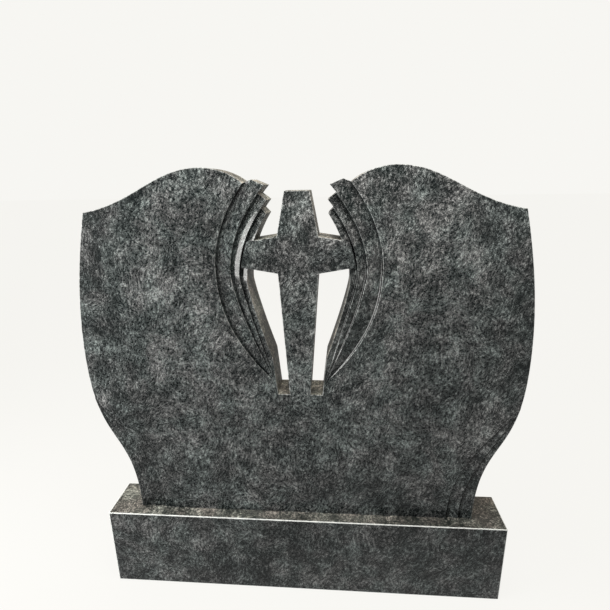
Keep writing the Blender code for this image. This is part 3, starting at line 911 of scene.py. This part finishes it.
def slab_mesh():
    """The winged slab: front and back ruled in patches, and rims along its outline and window.

    Every patch is ruled between two curves, so a point is first + (second - first) * share. The
    right half is made, then mirrored. Points are (offset, height, depth) until the very end.
    """
    rows, stops = band_rows()
    under, top = stops[1:3]
    bands = band_grids(rows)
    last_steep, last_slope = bands[-1]

    low = np.linspace(0.0, FLANK_MEET_HEIGHT, BODY_STEPS + 1)
    heights = np.concatenate((low, np.linspace(FLANK_MEET_HEIGHT, SILL_HEIGHT, SILL_STEPS + 1)[1:]))
    flanks, first = flank_grids(low)
    flank = flank_path()
    edge = np.concatenate((first, offset_on(flank, heights[len(low):])))
    offsets = (0.0, SHAFT_FOOT_HALF_WIDTH, SLOT_FOOT_OFFSET, edge)
    columns = [curve(offset, heights) for offset in offsets]
    spreads = (CORE_SHARES, CORE_SHARES, PLANE_SHARES)
    body = [ruled(*strip) for strip in zip(columns, columns[1:], spreads)]

    def core(start, finish, foot, head, count):
        """Half of the cross's upright between two heights."""
        level = np.linspace(start, finish, count + 1)
        side = curve(np.linspace(foot, head, count + 1), level)
        return ruled(curve(0.0, level), side, CORE_SHARES)

    arm_rows = slice(under, top + 1)
    shaft = core(SILL_HEIGHT, ARM_UNDER_HEIGHT, SHAFT_FOOT_HALF_WIDTH, CROSSING_HALF_WIDTH,
                 SHAFT_STEPS)
    crossing = core(ARM_UNDER_HEIGHT, ARM_TOP_HEIGHT, CROSSING_HALF_WIDTH, CROSSING_HALF_WIDTH,
                    top - under)
    limb = core(ARM_TOP_HEIGHT, CROSS_HEIGHT, CROSSING_HALF_WIDTH, LIMB_TOP_HALF_WIDTH, LIMB_STEPS)
    arm_end = last_slope[arm_rows] * (1.0, 1.0, 0.0)
    arm = ruled(crossing[:, -1], arm_end[:, -1], ARM_SHARES)

    slot = np.linspace(SILL_HEIGHT, ROOT_HEIGHT, SLOT_STEPS + 1)
    root = [grid[0, ::-1] for pair in bands[::-1] for grid in pair[::-1]]
    slot_curve = curve(slot_wall(slot), slot)
    inner = joined(slot_curve, *root, bands[0][0][:, 0])
    crest = crest_path()
    above = np.concatenate(([[offset_on(flank, SILL_HEIGHT), SILL_HEIGHT]],
                            flank[flank[:, 1] > SILL_HEIGHT]))
    outside = resampled(np.concatenate((above, crest[1:])), inner, len(above) - 1)
    wing = ruled(inner, curve(outside[:, 0], outside[:, 1]), PLANE_SHARES)

    plain = [*body, shaft, crossing, limb, arm, arm_end, wing]
    carved = []
    for steep, slope in (flanks[:2], flanks[2:], *bands):
        slopes = (slope[:under + 1], slope[top:]) if slope is last_slope else (slope,)
        # A carved line's edge gets the light line (honed edge and painted highlight), its steep
        # side painted shade, its slope faint painted shade
        carved += [(steep[:, :2], LINE_HONE_AND_PAINTED_HIGHLIGHT), (steep[:, 1:], STEEP_PAINTED_SHADE)]
        carved += [(part, SLOPE_FAINT_PAINTED_SHADE) for part in slopes]

    line_gap = line_offset(2, rows["line3"]) - line_offset(3, rows["line3"])
    line_radius = np.minimum(BAND_ARRIS, line_gap * BAND_ARRIS_SHARE)
    flank_gap = flanks[3][:, -1, 0] - flanks[3][:, 0, 0]
    flank_radius = np.minimum(SLAB_ARRIS, flank_gap * BAND_ARRIS_SHARE)
    ends = []
    for band, (steep, slope) in enumerate(bands):
        ends += [with_radius(steep[-1], BAND_ARRIS), with_radius(slope[-1], BAND_ARRIS)]
        if band < len(bands) - 1:
            down = slope[len(bands[band + 1][0]) - 1:, -1][::-1]
            ends.append(with_radius(down, BAND_ARRIS))
    outline = joined(
        *(with_radius(grid[0], SLAB_ARRIS) for grid in (*body, *flanks)),
        with_radius(flanks[3][:, -1], flank_radius),
        with_radius(body[2][len(low) - 1:, -1], SLAB_ARRIS),
        with_radius(wing[:, -1], SLAB_ARRIS),
        *ends,
        with_radius(last_slope[top:, -1], line_radius[top:])[::-1],
        with_radius(arm[-1, ::-1], SLAB_ARRIS),
        with_radius(limb[:, -1], SLAB_ARRIS),
        with_radius(limb[-1, ::-1], SLAB_ARRIS),
    )
    window = joined(
        with_radius(body[1][-1], SLAB_ARRIS),
        with_radius(slot_curve, SLAB_ARRIS),
        with_radius(last_slope[:under + 1, -1], line_radius[:under + 1]),
        with_radius(arm[0, ::-1], SLAB_ARRIS),
        with_radius(shaft[::-1, -1], SLAB_ARRIS),
    )[:-1]

    shell = Shell()
    loops = []
    for path, closed, turn, row in ((outline, False, 1, top), (window, True, -1, under)):
        repeats = np.linalg.norm(np.diff(path[:, :2], axis=0), axis=1) < SAME_POINT
        path[:-1, 3][repeats] = 0.0
        path[1:, 3][repeats] = 0.0
        loops.append((path, rim(shell, path, closed, turn, last_slope[row, -1, 2])))
    for grid, wear in [(grid, NO_MARKS) for grid in plain] + carved:
        front = moved(grid.reshape(-1, 3), 3, loops)
        behind = moved(grid.reshape(-1, 3), 2, loops)
        behind[:, 2] = SLAB_THICKNESS
        shell.add(front.reshape(grid.shape), wear)
        # The back gets half the side tone: lighter honed stone, and painted warm light
        shell.add(behind.reshape(grid.shape), BACK_HALF_HONE_AND_PAINTED_WARM_LIGHT)
    # The walls beside the arm's ends and edges get the grooves' painted shade
    for strip in (last_steep[arm_rows, -1], last_slope[under], last_slope[top]):
        shell.add(np.stack((strip * (1.0, 1.0, 0.0), strip)), STEEP_PAINTED_SHADE)
    shell.mirrored()
    shell.place(lambda p: np.stack((p[:, 0], SLAB_FRONT + p[:, 2], SLAB_FOOT + p[:, 1]), -1))
    return shell.mesh("slab finish", WELD)


def base_mesh():
    """The base block: a sphere's grid pulled apart to the block's corners.

    point = sign * (half size - radius) + radius * normal, where the normal runs over the sphere and
    the sign of each axis is that of its octant.
    """
    half = np.array((BASE_LENGTH / 2, BASE_DEPTH / 2, BASE_HEIGHT / 2))
    turns = np.linspace(0.0, pi / 2, ARRIS_STEPS + 1)
    around = np.concatenate([turns + quarter * pi / 2 for quarter in range(5)])
    quarters = np.repeat(np.arange(5) % 4, len(turns))
    signs = np.array(((1, 1), (-1, 1), (-1, -1), (1, -1)))[quarters]
    rise = np.concatenate((turns - pi / 2, turns))
    up = np.repeat((-1, 1), len(turns))
    normal = np.stack(np.broadcast_arrays(
        np.cos(rise)[:, None] * np.cos(around), np.cos(rise)[:, None] * np.sin(around),
        np.sin(rise)[:, None] + 0.0 * around), -1)
    sign = np.stack(np.broadcast_arrays(signs[:, 0], signs[:, 1], up[:, None]), -1)
    grid = sign * (half - BASE_ARRIS) + BASE_ARRIS * normal + (0.0, 0.0, half[2])
    shell = Shell()
    arc = len(turns)
    blocks = [(start, start + arc) for start in range(0, len(rise), arc)] + [(arc - 1, arc + 1)]
    for low, high in blocks:
        flat = NO_MARKS if low == arc - 1 else ARRIS_HONE_AND_PAINTED_HIGHLIGHT
        for start in range(0, 4 * arc, arc):
            # The base's arrises get the light line: a lighter honed edge, and a painted highlight
            shell.add(grid[low:high, start:start + arc], ARRIS_HONE_AND_PAINTED_HIGHLIGHT)
            shell.add(grid[low:high, start + arc - 1:start + arc + 1], flat)
    corners = np.array(((0, 1), (3, 2))) * arc
    shell.add(grid[0][corners], NO_MARKS)
    # The top gets half the side tone: lighter and less polished, with painted warm light from above
    shell.add(grid[-1][corners], TOP_HALF_HONE_AND_PAINTED_WARM_LIGHT)
    return shell.mesh("base finish", WELD)


def finished(mesh, material, node):
    """A closed piece that stands for a CAD node and rides on the only body."""
    edges = np.zeros(len(mesh.loops), np.int32)
    mesh.loops.foreach_get("edge_index", edges)
    open_edges = int((np.bincount(edges, minlength=len(mesh.edges)) != 2).sum())
    if open_edges:
        raise RuntimeError(f"{mesh.name} has {open_edges} open edges")
    mesh.materials.append(material)
    piece = new_object(mesh.name.replace(" ", "_"), mesh)
    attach(piece, "root")
    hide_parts(node)


class HEADSTONE_OT_base(bpy.types.Operator):
    """Finish the base block in polished granite"""

    bl_idname = "headstone.base"
    bl_label = "Base block"

    def execute(self, context):
        look = context.scene.headstone_granite
        stone = granite("base granite", look, look.base_arris_hone_and_highlight)
        finished(base_mesh(), stone, "base")
        return {"FINISHED"}


class HEADSTONE_OT_slab(bpy.types.Operator):
    """Finish the winged slab in polished granite"""

    bl_idname = "headstone.slab"
    bl_label = "Winged slab"

    def execute(self, context):
        look = context.scene.headstone_granite
        stone = granite("slab granite", look, look.slab_arris_hone_and_highlight)
        finished(slab_mesh(), stone, "slab")
        return {"FINISHED"}


def make_floor(stage):
    """A plain pale floor that gives off an even light."""
    half = stage.floor_size / 2
    corners = np.array([(-1, -1, 0), (1, -1, 0), (1, 1, 0), (-1, 1, 0)]) * half
    mesh = bpy.data.meshes.new("floor")
    mesh.from_pydata(corners.tolist(), [], [(0, 1, 2, 3)])
    recipe = Recipe("floor")
    settings = {
        "Base Color": (*stage.floor_colour, 1.0),
        "Roughness": 1.0,
        "Specular IOR Level": 0.0,
        "Emission Color": (*stage.floor_glow, 1.0),
        "Emission Strength": 1.0,
    }
    for name, item in settings.items():
        recipe.shader.inputs[name].default_value = item
    mesh.materials.append(recipe.material)
    new_object("floor", mesh)


def make_camera(stage):
    """The camera of the photograph: the fitted place and turn, looking along +Y when unturned."""
    lens = bpy.data.cameras.new("camera")
    lens.sensor_width = SENSOR_WIDTH
    lens.lens = lens.sensor_width * stage.focal_pixels / IMAGE_SIZE
    lens.clip_end = VIEW_END
    camera = new_object("camera", lens)
    pitch, roll, yaw = stage.camera_turn
    turns = ((yaw, "Z"), (pitch, "X"), (roll, "Y"), (pi / 2, "X"))
    placed = Matrix.Translation(stage.camera_place)
    for angle, axis in turns:
        placed = placed @ Matrix.Rotation(angle, 4, axis)
    camera.matrix_world = placed
    bpy.context.scene.camera = camera


def make_light(name, place, target, side, power, shade):
    """A soft square light that faces a target."""
    light = bpy.data.lights.new(name, "AREA")
    light.shape = "SQUARE"
    light.size = side
    light.energy = power
    light.color = shade
    item = new_object(name, light)
    item.location = place
    aim = Vector(target) - Vector(place)
    item.rotation_euler = aim.to_track_quat("-Z", "Y").to_euler()


def make_sky(stage):
    """Pale light from all around, climbing from the horizon's colour to the zenith's.

    Towards the front it turns to the dimmer front colour.
    """
    world = bpy.data.worlds.new("studio")
    world.use_nodes = True
    recipe = Recipe.of_tree(world.node_tree)
    direction = recipe.node("TexCoord").outputs["Generated"]
    _, depth, rise = recipe.parts(direction)
    share = ((rise - stage.horizon_rise) / (1.0 - stage.horizon_rise)).clamped()
    sky = recipe.mixed(share, (*stage.horizon_colour, 1.0), (*stage.zenith_colour, 1.0))
    front = (depth * -stage.front_dimming).clamped()
    sky = recipe.mixed(front, sky, (*stage.front_colour, 1.0))
    recipe.feed(world.node_tree.nodes["Background"].inputs["Color"], sky)
    bpy.context.scene.world = world


class HEADSTONE_OT_stage(bpy.types.Operator):
    """Set up the floor, the soft light and the camera"""

    bl_idname = "headstone.stage"
    bl_label = "Stage"

    def execute(self, context):
        stage = context.scene.headstone_stage
        context.scene.view_settings.view_transform = "Standard"
        make_sky(stage)
        make_floor(stage)
        make_camera(stage)
        make_light("key", stage.key_place, stage.key_target, stage.key_size, stage.key_power,
                   stage.key_colour)
        make_light("top", stage.top_place, stage.top_target, stage.top_size, stage.top_power,
                   stage.top_colour)
        return {"FINISHED"}


class HEADSTONE_PT_panel(bpy.types.Panel):
    """The headstone's pieces and settings"""

    bl_idname = "HEADSTONE_PT_panel"
    bl_label = "Headstone"
    bl_space_type = "VIEW_3D"
    bl_region_type = "UI"
    bl_category = "Headstone"

    def draw(self, context):
        for kind in OPERATORS:
            self.layout.operator(kind.bl_idname)
        for attribute, group in SETTINGS.items():
            box = self.layout.box()
            box.label(text=attribute.replace("_", " "))
            for name in group.__annotations__:
                box.prop(getattr(context.scene, attribute), name)


OPERATORS = (HEADSTONE_OT_base, HEADSTONE_OT_slab, HEADSTONE_OT_stage)
SETTINGS = {"headstone_granite": HeadstoneGranite, "headstone_stage": HeadstoneStage}


def register():
    """Register the classes and hang the settings on the scene."""
    for kind in (*SETTINGS.values(), *OPERATORS, HEADSTONE_PT_panel):
        bpy.utils.register_class(kind)
    for attribute, group in SETTINGS.items():
        setattr(bpy.types.Scene, attribute, PointerProperty(type=group))


def unregister():
    """Undo register."""
    for attribute in SETTINGS:
        delattr(bpy.types.Scene, attribute)
    for kind in (HEADSTONE_PT_panel, *OPERATORS, *reversed(SETTINGS.values())):
        bpy.utils.unregister_class(kind)


def main():
    """Build every piece and the stage."""
    register()
    bpy.ops.headstone.base()
    bpy.ops.headstone.slab()
    bpy.ops.headstone.stage()


if __name__ == "__main__":
    main()
